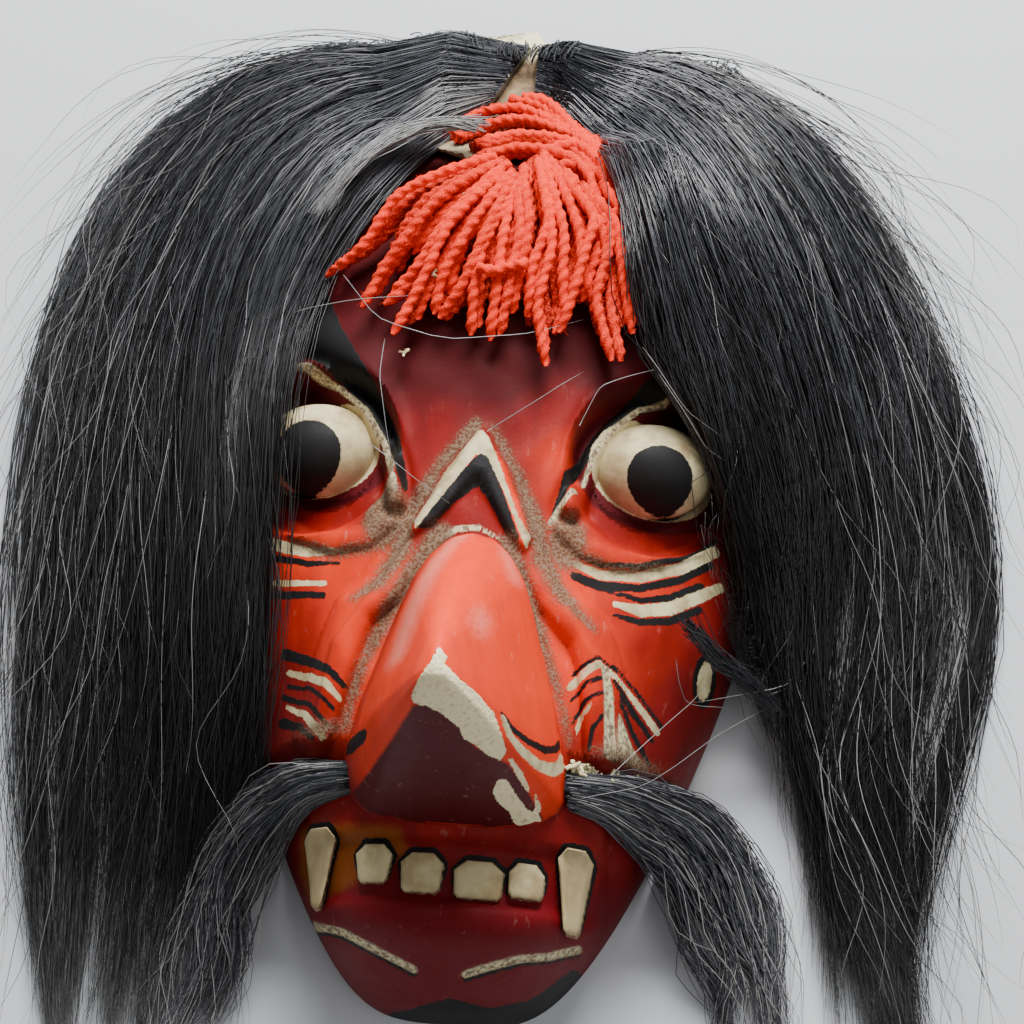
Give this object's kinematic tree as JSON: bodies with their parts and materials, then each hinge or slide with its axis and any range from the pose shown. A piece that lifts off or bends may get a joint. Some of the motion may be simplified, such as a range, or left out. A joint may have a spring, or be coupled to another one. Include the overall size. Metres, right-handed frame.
{
  "type": "topeng mask",
  "caption": "Carved, painted wooden ogre mask lying face up: hollow back, bulging eyes over looking slits, tusks, a long pointed nose, black hair, moustache and yarn tassel.",
  "frame": {"origin": "under the middle of the whole, on the plane that the back rim rests on", "axes": "+Z out of the face, +Y from the chin to the crown, +X to the right as seen from in front of the face"},
  "size_m": [0.2536, 0.2608, 0.112],
  "materials": {
    "painted_wood": "satin paint, chipped and scuffed",
    "rawhide": "dry, translucent",
    "hair": "black animal hair, slightly glossy",
    "yarn": "matte twisted wool"
  },
  "bodies": {
    "root": {"mask": "painted_wood", "scalp_hide": "rawhide", "hair_left": "hair", "hair_right": "hair", "moustache_left": "hair", "moustache_right": "hair", "tassel": "yarn"}
  },
  "joints": []
}
